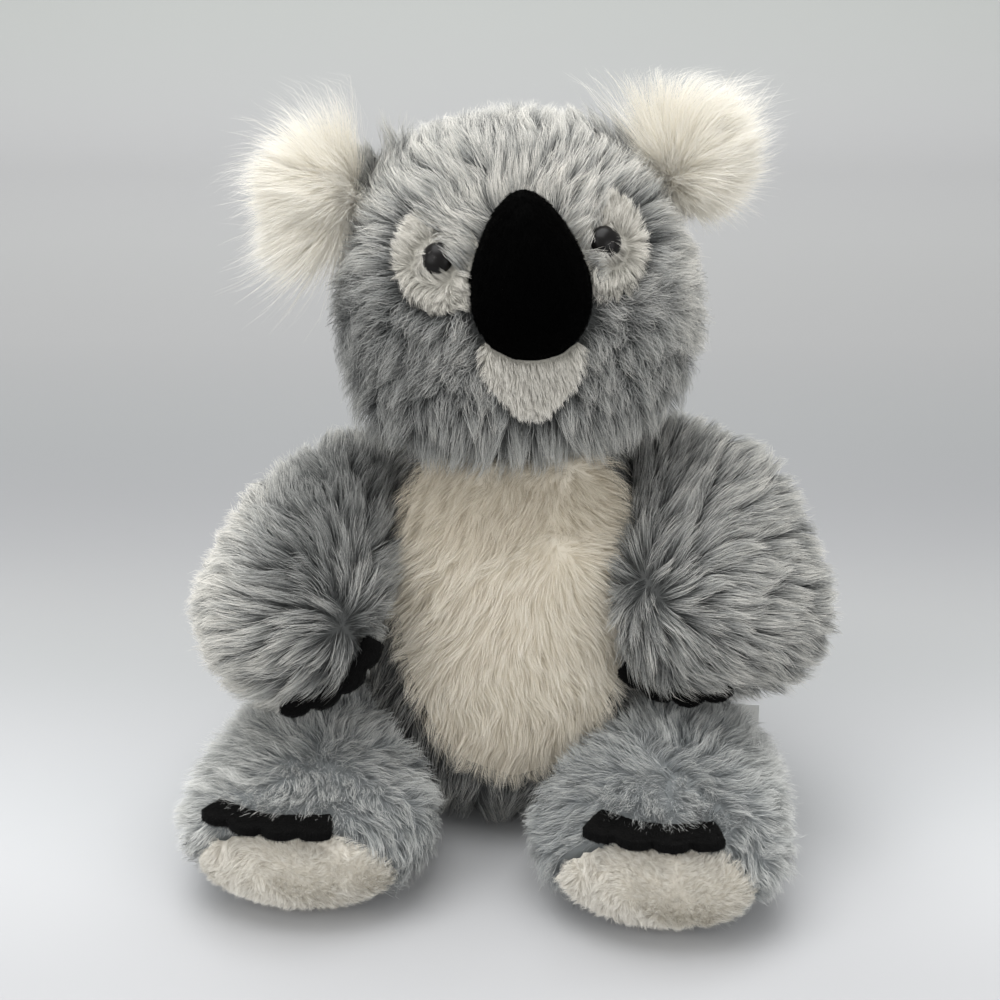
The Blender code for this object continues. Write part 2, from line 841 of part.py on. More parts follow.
def ear_frame(form):
    """The left ear's frame in the head's: X outward, Y back, Z up along the seam."""
    tree = BVHTree.FromObject(form, bpy.context.evaluated_depsgraph_get())
    lean = math.radians(EAR_LEAN)
    outward = Vector((math.cos(lean), 0, math.sin(lean)))
    start = Vector((EAR_SIDE, 0, EAR_RISE)) + outward * OVERRUN
    place = tree.ray_cast(start, -outward)[0] + outward * EAR_STANDOFF
    along = Vector((-math.sin(lean), 0, math.cos(lean)))
    turn = Matrix((outward, Vector((0, 1, 0)), along)).transposed().to_4x4()
    return Matrix.Translation(place) @ turn


def ear_outline(half_reach, half_span, out, rise):
    return [Vector((out, 0, rise)) + point for point in oval(half_reach, half_span)]


def make_ears(form, frame):
    """Each ear's back, its long-pile front and the line that it folds about."""
    seat = ear_frame(form)
    back = make_object("ear_back", pillow_form(
        ear_outline(EAR_REACH / 2 + EAR_STANDOFF, EAR_HALF_SPAN, EAR_REACH / 2 - EAR_STANDOFF, 0),
        EAR_HALF_THICKNESS, EAR_HALF_THICKNESS,
    ), parent=frame)
    tuft = make_object("ear_tuft", pillow_form(
        ear_outline(TUFT_HALF_REACH, TUFT_HALF_SPAN, TUFT_OUT, -TUFT_DROP),
        TUFT_DEPTH, EAR_HALF_THICKNESS,
    ), parent=frame)
    back.data.transform(seat)
    tuft.data.transform(seat)
    cut(tuft, grown(back, GAP))
    cut(tuft, grown(form, TUFT_RELIEF))
    cut(back, grown(form, EAR_GAP))
    ears = []
    for name, side in (("left", 1), ("right", -1)):
        pair = [copy_of(back, "ear_" + name), copy_of(tuft, "ear_tuft_" + name)]
        mirror = Matrix.Diagonal((side, 1, 1, 1))
        for piece in pair:
            piece.data.transform(mirror)
            if side < 0:
                piece.data.flip_normals()
        place = frame.matrix_world @ (mirror @ seat.translation)
        ears.append((name, place, pair))
    delete(back, tuft)
    return ears


def keep_largest(thing):
    """Drops the scraps that a cut can leave beside the piece."""
    bm = bmesh.new()
    bm.from_mesh(thing.data)
    left = set(bm.verts)
    groups = []
    while left:
        group = set()
        edge = [left.pop()]
        while edge:
            vertex = edge.pop()
            group.add(vertex)
            for link in vertex.link_edges:
                other = link.other_vert(vertex)
                if other in left:
                    left.remove(other)
                    edge.append(other)
        groups.append(group)
    groups.sort(key=len)
    scraps = [vertex for group in groups[:-1] for vertex in group]
    bmesh.ops.delete(bm, geom=scraps, context="VERTS")
    bm.to_mesh(thing.data)
    bm.free()


def build_head(neck):
    frame = empty(
        "head_frame", (0, -HEAD_FORWARD, HEAD_RISE), neck,
        (HEAD_PITCH, HEAD_ROLL, HEAD_YAW), "YXZ",
    )
    form = make_head(frame)
    nose = make_nose(form, frame)
    chin_outline = oval(CHIN_HALF_WIDTH, CHIN_HALF_HEIGHT, rise=-CHIN_DROP)
    chin = shell_patch("chin_patch", form, chin_outline, CHIN_THICKNESS, frame)
    cut(chin, grown(nose, GAP))
    head = copy_of(form, "head")
    for name, side in (("left", 1), ("right", -1)):
        seat = eye_seat(form, side)
        outline = oval(PATCH_HALF_WIDTH, PATCH_HALF_HEIGHT, rise=EYE_RISE, side=side * EYE_SPREAD)
        patch = shell_patch("eye_patch_" + name, form, outline, PATCH_THICKNESS, frame)
        pocket = turned_at("pocket", pocket_profile(), seat, frame)
        cut(patch, pocket, keep=True)
        cut(patch, grown(nose, GAP))
        cut(head, pocket)
        finish(patch, white_pile())
        keep_largest(patch)
        eye = turned_at("eye_" + name, eye_profile(), seat, frame)
        finish(eye, gloss_black())
        washer = turned_at("eye_washer_" + name, washer_profile(), seat, frame)
        finish(washer, clear_nylon())
    ears = make_ears(form, frame)
    for name, place, (back, tuft) in ears:
        pivot = empty("ear_fold_" + name, neck.matrix_world.inverted() @ place, neck)
        for piece, look in ((back, grey_fur()), (tuft, cream_fur())):
            keep_largest(piece)
            hand_over(piece, pivot)
            finish(piece, look)
    cut(head, half_space(neck.matrix_world.translation + Vector((0, 0, GAP)), Vector((0, 0, -1))))
    keep_largest(chin)
    finish(head, grey_fur())
    finish(nose, black_velvet())
    finish(chin, white_pile())
    delete(form)
    head.name = "head"


def build_side(side_name, pose, dressed, torso, belly):
    leg, sole, hip, heading, foot = make_leg("leg_" + side_name, pose, dressed)
    keep_largest(leg)
    leg_room = swept_room(leg, hip, splay_angles(pose))
    arm, shoulder, paw = make_arm("arm_" + side_name, pose, dressed, leg_room)
    keep_largest(arm)
    cut(torso, shoulder_ball(pose, GAP))
    cut(belly, shoulder_ball(pose, GAP))
    paw_claws = make_paw_claws("hand_claws_" + side_name, side_name, arm, paw, leg_room)
    keep_largest(paw_claws)
    foot_claws = make_foot_claws("foot_claws_" + side_name, pose, leg, sole, heading, foot)
    keep_largest(foot_claws)
    shoulder_pivot = empty("shoulder_" + side_name, shoulder)
    hip_pivot = empty("hip_" + side_name, hip)
    pieces = [
        (arm, shoulder_pivot, grey_fur()),
        (paw_claws, shoulder_pivot, black_felt()),
        (leg, hip_pivot, grey_fur()),
        (sole, hip_pivot, cream_fur()),
        (foot_claws, hip_pivot, black_felt()),
    ]
    if side_name == "left":
        pieces.append((make_label(leg, hip, heading), hip_pivot, label_satin()))
    for piece, pivot, look in pieces:
        hand_over(piece, pivot)
        finish(piece, look)


def build():
    clear_scene()
    pear = torso_pear()
    skin = torso_skin(pear)
    belly, dressed = make_belly(pear, skin)
    torso = copy_of(skin, "torso_piece")
    neck = empty("neck_turn", (0, 0, TORSO_HEIGHT))
    for side_name, pose in POSES.items():
        build_side(side_name, pose, dressed, torso, belly)
    build_head(neck)
    delete(pear, skin, dressed)
    torso.name = "torso"
    keep_largest(belly)
    finish(torso, grey_fur())
    finish(belly, cream_fur())


build()
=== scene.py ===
"""Looks of a seated plush koala: pile, velvet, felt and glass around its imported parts."""

import math

import bpy
import numpy as np
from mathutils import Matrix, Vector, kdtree
from mathutils.bvhtree import BVHTree


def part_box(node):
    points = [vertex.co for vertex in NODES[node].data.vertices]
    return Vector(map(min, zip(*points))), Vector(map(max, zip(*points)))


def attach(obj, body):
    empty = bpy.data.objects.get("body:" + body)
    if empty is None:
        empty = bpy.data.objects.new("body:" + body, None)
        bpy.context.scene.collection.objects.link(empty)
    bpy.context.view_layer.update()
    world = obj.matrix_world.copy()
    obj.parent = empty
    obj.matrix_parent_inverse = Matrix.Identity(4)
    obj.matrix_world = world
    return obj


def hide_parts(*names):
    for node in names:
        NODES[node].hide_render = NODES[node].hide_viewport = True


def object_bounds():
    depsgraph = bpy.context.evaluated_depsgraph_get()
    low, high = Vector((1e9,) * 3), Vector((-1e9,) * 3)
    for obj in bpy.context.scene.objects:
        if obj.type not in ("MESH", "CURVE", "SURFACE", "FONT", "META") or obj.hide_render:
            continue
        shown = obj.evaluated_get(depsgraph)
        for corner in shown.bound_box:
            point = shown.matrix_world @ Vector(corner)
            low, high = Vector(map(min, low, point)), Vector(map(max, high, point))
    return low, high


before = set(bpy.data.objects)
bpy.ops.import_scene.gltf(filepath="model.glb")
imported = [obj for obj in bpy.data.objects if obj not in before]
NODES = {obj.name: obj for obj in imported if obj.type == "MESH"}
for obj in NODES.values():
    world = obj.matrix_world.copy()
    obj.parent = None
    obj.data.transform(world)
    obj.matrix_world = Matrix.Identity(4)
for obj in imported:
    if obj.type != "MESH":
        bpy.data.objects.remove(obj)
CAD_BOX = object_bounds()
MM = 0.001
FLOOR_GAP = 0.4 * MM
UV_NAME = "OFBake"
TONE_SPREAD = 0.004  # width of one strand on its colour map

# Strands bend over from CEILING on and never pass it by more than TIP_RISE
CEILING = CAD_BOX[1][2] + 7 * MM
TIP_RISE = 9 * MM

# How strands stand, gather and stray
RISE_CURVE = 1.6  # how soon a strand reaches its height over the form
DROOP = 0.14  # pull of a free strand towards the floor, at each step
GATHER_CURVE = 1.3  # how late along a strand it draws to its neighbours
GUIDES_PER_TUFT = 5
NEAR_GUIDES = 3  # that a strand follows
OWN_SHARE = 0.6  # of a strand's way, taken from its nearest guide alone
LONG_STRAY = 1.6  # length of a stray strand against the others
LOOSE_CURVE = 1.5  # how late along a strand it leaves its clump
BEND_SHARE = 0.35  # of frizz, in the middle of a strand
ROLL_SPREAD = 0.55  # radians, of a strand's flat side
ROUNDNESS = 0.6  # how far the shading turns from one edge to the other
LEAST_TAPER = 0.12  # width of a tip against the strand
LOCK_SPREAD = 0.06  # tone of one clump against the next
STREAK_DEPTH = 0.32  # how much darker a streak is: clumps darkened to stand for gaps, partly dark roots, partly painted shade
LEAST_ROOM = 1.5 * MM  # height of pile between two forms that touch
HEIGHT_SHARE = 0.9  # of a strand's length
SLOW_WAVE = 24 * MM
FAST_WAVE = 8 * MM
FAST_SHARE = 0.6
COVER_REACH = 9  # mm above the form, over which other pieces count

# The slow noise that turns the pile
OCTAVES = 4
OCTAVE_STEP = 1.7  # each octave's frequency against the one before
OCTAVE_FALL = 0.62  # and its strength


# Small tools

def unit(vectors):
    return vectors / np.maximum(np.linalg.norm(vectors, axis=-1, keepdims=True), 1e-9)


def mm(*values):
    return np.array(values, float) * MM


def linear(red, green, blue):
    """A colour read from 0-255 display values."""
    def channel(value):
        share = value / 255
        return share / 12.92 if share <= 0.04045 else ((share + 0.055) / 1.055) ** 2.4
    return (channel(red), channel(green), channel(blue), 1.0)


def fade(values, low, high):
    """0 at low, 1 at high, smooth between."""
    share = np.clip((values - low) / (high - low), 0, 1)
    return share * share * (3 - 2 * share)


def wander(points, wavelength, seed):
    """A slow vector noise, about unit size, with the given main wavelength."""
    rng = np.random.default_rng(seed)
    total = np.zeros((len(points), 3))
    for octave in range(OCTAVES):
        waves = unit(rng.normal(size=(3, 3))) * 2 * math.pi / wavelength * OCTAVE_STEP ** octave
        phases = rng.uniform(0, 2 * math.pi, 3)
        total += np.sin(points @ waves.T + phases) * OCTAVE_FALL ** octave
    return total / 1.6


def tree_of(names):
    """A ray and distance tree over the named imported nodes."""
    points, faces = [], []
    for name in names:
        mesh = NODES[name].data
        start = len(points)
        points += [tuple(v.co) for v in mesh.vertices]
        faces += [tuple(start + i for i in p.vertices) for p in mesh.polygons]
    return BVHTree.FromPolygons(points, faces) if faces else None


# Stuffed forms

def form(node, voxel, inward, passes):
    """The stuffed body under the pile: points, squares and outward directions."""
    scratch = bpy.data.objects.new(node + "_form", NODES[node].data.copy())
    bpy.context.scene.collection.objects.link(scratch)
    even = scratch.modifiers.new("even", "REMESH")
    even.mode = "VOXEL"
    even.voxel_size = voxel
    soften = scratch.modifiers.new("soften", "SMOOTH")
    soften.factor = 0.5
    soften.iterations = passes
    graph = bpy.context.evaluated_depsgraph_get()
    mesh = bpy.data.meshes.new_from_object(scratch.evaluated_get(graph))
    count = len(mesh.vertices)
    points = np.empty(count * 3)
    mesh.vertices.foreach_get("co", points)
    outward = np.empty(count * 3)
    mesh.vertex_normals.foreach_get("vector", outward)
    squares = np.empty(len(mesh.loops), int)
    mesh.loops.foreach_get("vertex_index", squares)
    bpy.data.objects.remove(scratch)
    bpy.data.meshes.remove(mesh)
    points = points.reshape(-1, 3)
    outward = outward.reshape(-1, 3)
    return points - outward * inward, squares.reshape(-1, 4), outward


def scatter(skin, count, density, rng):
    """Random roots over a form: points and outward directions."""
    points, squares, outward = skin
    corners = np.vstack([squares[:, [0, 1, 2]], squares[:, [0, 2, 3]]])
    a, b, c = points[corners[:, 0]], points[corners[:, 1]], points[corners[:, 2]]
    area = np.linalg.norm(np.cross(b - a, c - a), axis=1)
    if density is not None:
        middle = (a + b + c) / 3
        facing = unit(outward[corners].sum(1))
        area = area * density(middle, facing)
    chosen = rng.choice(len(corners), count, p=area / area.sum())
    first, second = rng.random(count), rng.random(count)
    over = first + second > 1
    first[over], second[over] = 1 - first[over], 1 - second[over]
    weights = np.stack([1 - first - second, first, second], 1)[:, :, None]
    trio = corners[chosen]
    return (points[trio] * weights).sum(1), unit((outward[trio] * weights).sum(1))


def covered(points, outward, tree, reach):
    """How far each root is from what lies over it, up to reach."""
    gaps = np.full(len(points), reach)
    if tree is None:
        return gaps
    for i, (point, way) in enumerate(zip(points, outward)):
        hit = tree.ray_cast(point, way, reach)
        if hit[0] is not None:
            gaps[i] = hit[3]
    return gaps


def raised(points, outward, tree, reach):
    """How far out the last surface over each root lies, up to reach."""
    lift = np.zeros(len(points))
    for i, (point, way) in enumerate(zip(points, outward)):
        hit = tree.ray_cast(point + way * reach, -way, reach)
        if hit[0] is not None:
            lift[i] = reach - hit[3]
    return lift


def guides(skin, roots, outward, lay, length, rise, cling, steps, lean, lift):
    """Guide strands laid over a form: points by strand and step."""
    points, squares, _ = skin
    tree = BVHTree.FromPolygons(points.tolist(), squares.tolist())
    track = np.empty((len(roots), steps + 1, 3))
    track[:, 0] = roots + outward * lift[:, None]
    here, up = roots.copy(), outward.copy()
    ahead = unit(outward + lean * lay(roots, outward))
    for step in range(steps):
        share = (step + 1) / steps
        height = lift + rise * (1 - (1 - share) ** RISE_CURVE)
        flow = lay(here, up)
        flow = unit(flow - (flow * up).sum(1, keepdims=True) * up)
        hugging = here + up * height[:, None] + flow * (length / steps)[:, None]
        free = track[:, step] + ahead * (length / steps)[:, None]
        place = hugging * cling[:, None] + free * (1 - cling[:, None])
        ahead = unit(place - track[:, step]) + np.array([0, 0, -DROOP])
        track[:, step + 1] = place
        for i, point in enumerate(place):
            near = tree.find_nearest(point)
            here[i], up[i] = near[0], near[1]
    return track


def gathered(track, roots, rng, amount):
    """Guides drawn together in tufts, each of several strand clumps."""
    centres = rng.choice(len(roots), max(len(roots) // GUIDES_PER_TUFT, 2), replace=False)
    tree = kdtree.KDTree(len(centres))
    for i in centres:
        tree.insert(roots[i], int(i))
    tree.balance()
    home = np.array([tree.find(point)[1] for point in roots])
    share = np.linspace(0, 1, track.shape[1])[None, :, None]
    return track + (roots[home] - roots)[:, None] * amount * share ** GATHER_CURVE


def follow(roots, guide_roots, track, rng, clump, frizz, spread, strays):
    """Strands that follow the guides nearest to each root and gather at their tips."""
    tree = kdtree.KDTree(len(guide_roots))
    for i, point in enumerate(guide_roots):
        tree.insert(point, i)
    tree.balance()
    near = np.empty((len(roots), NEAR_GUIDES), int)
    gap = np.empty((len(roots), NEAR_GUIDES))
    for i, point in enumerate(roots):
        for j, found in enumerate(tree.find_n(point, NEAR_GUIDES)):
            near[i, j], gap[i, j] = found[1], found[2]
    weight = 1 / (gap + 0.3 * MM)
    weight /= weight.sum(1, keepdims=True)
    travel = track - track[:, :1]
    moved = (travel[near] * weight[:, :, None, None]).sum(1)
    own = travel[near[:, 0]]
    share = np.linspace(0, 1, track.shape[1])[None, :, None]
    count = len(roots)
    scale = rng.uniform(1 - spread, 1 + 0.35 * spread, count)
    scale = scale * np.where(rng.random(count) < strays, LONG_STRAY, 1.0)
    scale = scale[:, None, None]
    body = roots[:, None] + (moved * (1 - OWN_SHARE) + own * OWN_SHARE) * scale
    pull = (guide_roots[near[:, 0]] - roots)[:, None]
    pull = pull * (clump * rng.uniform(0.55, 1.0, count))[:, None, None] * share ** GATHER_CURVE
    loose = unit(rng.normal(size=(count, 3)))[:, None] * share ** LOOSE_CURVE
    bend = unit(rng.normal(size=(count, 3)))[:, None] * np.sin(math.pi * share) * BEND_SHARE
    stray = (rng.random(count) ** 3 * 2.2 + 0.35)[:, None, None] * frizz
    return body + pull + (loose + bend) * stray, near[:, 0]


def under_ceiling(track):
    """Strand tips that bend over before they rise too far above the toy."""
    over = np.maximum(track[..., 2] - CEILING, 0)
    track[..., 2] -= over - TIP_RISE * (1 - np.exp(-over / TIP_RISE))
    return track


def curls(track, rng, amount):
    """The wave of a curly pile, one turn from root to tip."""
    count, knots, _ = track.shape
    share = np.linspace(0, 1, knots)[None, :]
    phase = rng.uniform(0, 2 * math.pi, count)[:, None]
    side = unit(rng.normal(size=(count, 3)))[:, None]
    other = unit(rng.normal(size=(count, 3)))[:, None]
    turn = share * 2 * math.pi + phase
    swing = (np.cos(turn) - np.cos(phase))[:, :, None] * side
    sway = (np.sin(turn) - np.sin(phase))[:, :, None] * other
    return track + (swing + sway) * amount[:, None, None]


def ribbons(track, outward, width, rng):
    """Tapered flat strands along the tracks: points and shading directions."""
    count, knots, _ = track.shape
    steps = knots - 1
    along = np.empty_like(track)
    along[:, 1:-1] = track[:, 2:] - track[:, :-2]
    along[:, 0] = track[:, 1] - track[:, 0]
    along[:, -1] = track[:, -1] - track[:, -2]
    along = unit(along)
    out = outward[:, None] - (outward[:, None] * along).sum(2, keepdims=True) * along
    out = unit(out + 1e-6)
    side = np.cross(along, out)
    roll = rng.normal(0, ROLL_SPREAD, count)[:, None, None]
    side, out = side * np.cos(roll) + out * np.sin(roll), out * np.cos(roll) - side * np.sin(roll)
    share = np.linspace(0, 1, knots)
    taper = np.maximum(0.55 + 0.9 * share - 1.35 * share ** 2, LEAST_TAPER)[None, :, None]
    half = width * rng.uniform(0.7, 1.3, count)[:, None, None] * taper / 2
    left = track - side * half
    right = track + side * half
    points = np.empty((count, 2 * steps + 1, 3))
    points[:, 0:-1:2] = left[:, :-1]
    points[:, 1:-1:2] = right[:, :-1]
    points[:, -1] = track[:, -1]
    shade = np.empty_like(points)
    shade[:, 0:-1:2] = unit(out[:, :-1] - side[:, :-1] * ROUNDNESS)
    shade[:, 1:-1:2] = unit(out[:, :-1] + side[:, :-1] * ROUNDNESS)
    shade[:, -1] = out[:, -1]
    return points, shade


def strand_mesh(name, skin, track, outward, tone, width, rng, material, skin_tone):
    """One mesh of a stuffed form and its pile, mapped by tone across and root to tip up."""
    points, shade = ribbons(track, outward, width, rng)
    points[..., 2] = np.maximum(points[..., 2], FLOOR_GAP)
    count, per, _ = points.shape
    steps = (per - 1) // 2
    start = 0
    blocks = []
    if skin is not None:
        start = len(skin[0])
        blocks.append((skin[1].ravel(), 4, len(skin[1])))
    base = start + np.arange(count)[:, None] * per
    rungs = np.arange(steps - 1)[None, :] * 2
    quads = (base + rungs)[:, :, None] + np.array([0, 1, 3, 2])
    blocks.append((quads.ravel(), 4, quads.shape[0] * quads.shape[1]))
    tips = base + np.array([per - 3, per - 2, per - 1])
    blocks.append((tips.ravel(), 3, count))
    loops = np.concatenate([b[0] for b in blocks])
    sizes = np.concatenate([np.full(b[2], b[1]) for b in blocks])
    all_points = points.reshape(-1, 3)
    all_shade = shade.reshape(-1, 3)
    share = np.repeat(np.arange(steps) / steps, 2)
    across = np.concatenate([np.tile([-TONE_SPREAD, TONE_SPREAD], steps), [0]])
    up = np.concatenate([share, [0.999]])
    map_u = np.clip(tone, 0.01, 0.99)[:, None] + across[None]
    map_v = np.broadcast_to(up[None] * 0.99 + 0.005, map_u.shape)
    mapping = np.stack([map_u, map_v], 2).reshape(-1, 2)
    if skin is not None:
        all_points = np.vstack([skin[0], all_points])
        all_points[:, 2] = np.maximum(all_points[:, 2], FLOOR_GAP)
        all_shade = np.vstack([skin[2], all_shade])
        mapping = np.vstack([np.full((start, 2), skin_tone), mapping])
    loop_map = mapping[loops]
    if skin is not None:
        corner = np.array([[0, 0], [1, 0], [1, 1], [0, 1]]) * TONE_SPREAD
        loop_map[: len(skin[1]) * 4] += np.tile(corner, (len(skin[1]), 1))
    mesh = bpy.data.meshes.new(name)
    mesh.vertices.add(len(all_points))
    mesh.vertices.foreach_set("co", all_points.ravel().astype(np.float32))
    mesh.loops.add(len(loops))
    mesh.loops.foreach_set("vertex_index", loops.astype(np.int32))
    mesh.polygons.add(len(sizes))
    starts = np.concatenate([[0], np.cumsum(sizes)[:-1]])
    mesh.polygons.foreach_set("loop_start", starts.astype(np.int32))
    mesh.update(calc_edges=True)
    layer = mesh.uv_layers.new(name=UV_NAME)
    layer.uv.foreach_set("vector", loop_map.ravel().astype(np.float32))
    mesh.polygons.foreach_set("use_smooth", np.ones(len(sizes), bool))
    mesh.normals_split_custom_set_from_vertices(unit(all_shade))
    mesh.materials.append(material)
    piece = bpy.data.objects.new(name, mesh)
    bpy.context.scene.collection.objects.link(piece)
    return piece


def pile(name, node, body, material, lay, *, count, length, rise, inward, seed,
         voxel=3.0, passes=3, steps=3, width=0.18, skin_tone=(0.35, 0.04),
         density=None, bare=(), clear=None, near=(), under=(), through=None, keep=None, halves=None,
         sizes=None, cling=1.0, lean=0.2, unruly=0.3, gather=0.3, clump=0.45, per_clump=22,
         spread=0.45, strays=0.0, frizz=1.0, curl=None, tone=None, streaks=0.08, mixed=0.08,
         airy=0.0):
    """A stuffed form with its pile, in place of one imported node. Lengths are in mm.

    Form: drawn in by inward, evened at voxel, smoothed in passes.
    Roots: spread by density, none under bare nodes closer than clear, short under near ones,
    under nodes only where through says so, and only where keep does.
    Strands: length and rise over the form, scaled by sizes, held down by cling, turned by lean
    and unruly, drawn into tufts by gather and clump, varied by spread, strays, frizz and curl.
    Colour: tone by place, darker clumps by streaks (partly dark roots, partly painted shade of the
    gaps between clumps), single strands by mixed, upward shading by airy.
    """
    rng = np.random.default_rng(seed)
    skin = form(node, voxel * MM, inward * MM, passes)
    bare_tree = tree_of(bare)
    near_tree = tree_of(near)
    under_tree = tree_of(under)
    reach = (inward + COVER_REACH) * MM
    clear = reach if clear is None else clear * MM

    def rooted(number):
        roots, outward = scatter(skin, number, density, rng)
        stay = covered(roots, outward, bare_tree, clear) >= clear
        if under:
            stay &= (covered(roots, outward, under_tree, reach) >= reach) | through(roots)
        if keep is not None:
            stay &= keep(roots, outward)
        return roots[stay], outward[stay]

    guide_roots, guide_out = rooted(max(count // per_clump, 40))
    room = covered(guide_roots, guide_out, near_tree, reach)
    heights = np.minimum(np.full(len(room), rise * MM), np.maximum(room, LEAST_ROOM))
    lengths = np.full(len(room), length * MM) * rng.uniform(0.8, 1.15, len(room))
    if sizes is not None:
        lengths = lengths * sizes(guide_roots, guide_out)
    heights = np.minimum(heights, lengths * HEIGHT_SHARE) * rng.uniform(0.75, 1.2, len(room))
    hold = cling(guide_roots, guide_out) if callable(cling) else np.full(len(room), cling)

    def jittered(points, up):
        way = lay(points, up)
        way = way / np.maximum(np.linalg.norm(way, axis=1, keepdims=True), 1)
        slow = wander(points, SLOW_WAVE, seed + 5)
        fast = wander(points, FAST_WAVE, seed + 6)
        return way + unruly * (slow + FAST_SHARE * fast)

    lift = np.zeros(len(guide_roots))
    if under:
        lift = raised(guide_roots, guide_out, under_tree, reach)
    track = guides(skin, guide_roots, guide_out, jittered, lengths, heights, hold, steps, lean, lift)
    track = gathered(track, guide_roots, rng, gather)
    roots, outward = rooted(count)
    guide_roots = track[:, 0]
    if under:
        roots = roots + outward * raised(roots, outward, under_tree, reach)[:, None]
    path, clump_of = follow(roots, guide_roots, track, rng, clump, frizz * MM, spread, strays)
    if curl is not None:
        path = curls(path, rng, curl(roots) * MM)
    path = under_ceiling(path)
    shade = np.full(len(roots), 0.5) if tone is None else tone(roots, outward)
    locks = rng.normal(0, LOCK_SPREAD, len(guide_roots))
    # Streaks darken whole clumps in place of the gaps between them: partly dark roots, partly painted
    # shade.
    locks = locks - STREAK_DEPTH * (rng.random(len(guide_roots)) < streaks)
    shade = shade + locks[clump_of] + rng.normal(0, mixed, len(roots))
    tip_out = unit(outward + 0.25 * unit(path[:, -1] - roots) + airy * np.array([0, -0.4, 0.9]))
    parts = [np.ones(len(roots), bool)]
    if halves is not None:
        front = halves(roots)
        parts = [front, ~front]
    for number, part in enumerate(parts):
        first = number == 0
        piece = strand_mesh(name if first else f"{name}_{number + 1}", skin if first else None,
                            path[part], tip_out[part], shade[part], width * MM, rng, material,
                            skin_tone)
        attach(piece, body)
        if first:
            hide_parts(node)


# Surfaces

def principled(name):
    """A new material, its node tree and its shader."""
    material = bpy.data.materials.new(name)
    material.use_nodes = True
    nodes = material.node_tree.nodes
    return material, material.node_tree, nodes["Principled BSDF"]


def coloured(tree, shader, value, stops, blend="LINEAR"):
    """The shader's base colour from a ramp over a value."""
    ramp = tree.nodes.new("ShaderNodeValToRGB")
    ramp.color_ramp.interpolation = blend
    elements = ramp.color_ramp.elements
    while len(elements) < len(stops):
        elements.new(0.5)
    for element, (place, colour) in zip(elements, stops):
        element.position = place
        element.color = linear(*colour)
    tree.links.new(value, ramp.inputs["Fac"])
    tree.links.new(ramp.outputs["Color"], shader.inputs["Base Color"])


def pile_material(name, stops, along=0.6, across=0.5, offset=-0.05, sheen=0.15, specular=0.2):
    """Pile colour from dark root to pale tip, lighter or darker by strand.

    The place on the ramp is along times the way up the strand, plus across times its tone.
    """
    material, tree, shader = principled(name)
    place = tree.nodes.new("ShaderNodeUVMap")
    place.uv_map = UV_NAME
    split = tree.nodes.new("ShaderNodeSeparateXYZ")
    tree.links.new(place.outputs["UV"], split.inputs["Vector"])
    first = tree.nodes.new("ShaderNodeMath")
    first.operation = "MULTIPLY_ADD"
    tree.links.new(split.outputs["X"], first.inputs[0])
    first.inputs[1].default_value = across
    first.inputs[2].default_value = offset
    second = tree.nodes.new("ShaderNodeMath")
    second.operation = "MULTIPLY_ADD"
    tree.links.new(split.outputs["Y"], second.inputs[0])
    second.inputs[1].default_value = along
    tree.links.new(first.outputs[0], second.inputs[2])
    coloured(tree, shader, second.outputs[0], stops)
    shader.inputs["Roughness"].default_value = 0.75
    shader.inputs["Specular IOR Level"].default_value = specular
    shader.inputs["Sheen Weight"].default_value = sheen
    shader.inputs["Sheen Roughness"].default_value = 0.5
    return material


GREY = pile_material("grey_pile", [(0.0, (44, 46, 46)), (0.26, (98, 100, 99)),
                                   (0.52, (168, 169, 166)), (0.8, (218, 216, 209)),
                                   (1.0, (248, 244, 236))], 0.66, 0.55, -0.10)
SHORT_GREY = pile_material("short_grey_pile", [(0.0, (70, 75, 77)), (0.26, (116, 121, 123)),
                                               (0.52, (167, 170, 169)), (0.8, (207, 208, 205)),
                                               (1.0, (236, 236, 232))], 0.62, 0.5, -0.06)
CREAM = pile_material("cream_pile", [(0.0, (188, 177, 156)), (0.35, (224, 216, 199)),
                                     (0.7, (243, 238, 226)), (1.0, (254, 251, 243))])
TUFT = pile_material("tuft_pile", [(0.0, (240, 231, 208)), (0.35, (251, 246, 232)),
                                   (0.7, (254, 251, 243)), (1.0, (255, 254, 250))], sheen=0.7)
WHITE = pile_material("white_pile", [(0.0, (184, 178, 166)), (0.35, (226, 221, 210)),
                                     (0.7, (242, 239, 230)), (1.0, (251, 249, 243))])
# The patches' pile: a darker copy of the white pile, with painted shade.
SHADED_PATCH = pile_material("patch_pile", [(0.0, (140, 138, 129)), (0.35, (202, 199, 190)),
                                     (0.7, (232, 229, 221)), (1.0, (250, 248, 242))])
VELVET = pile_material("black_velvet", [(0.0, (0, 0, 0)), (0.6, (1, 1, 1)), (1.0, (6, 6, 6))],
                       sheen=0.0, specular=0.02)
FELT = pile_material("black_felt", [(0.0, (3, 3, 3)), (0.5, (8, 8, 8)), (1.0, (20, 20, 20))],
                     sheen=0.02, specular=0.08)


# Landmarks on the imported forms, in mm unless a line says otherwise

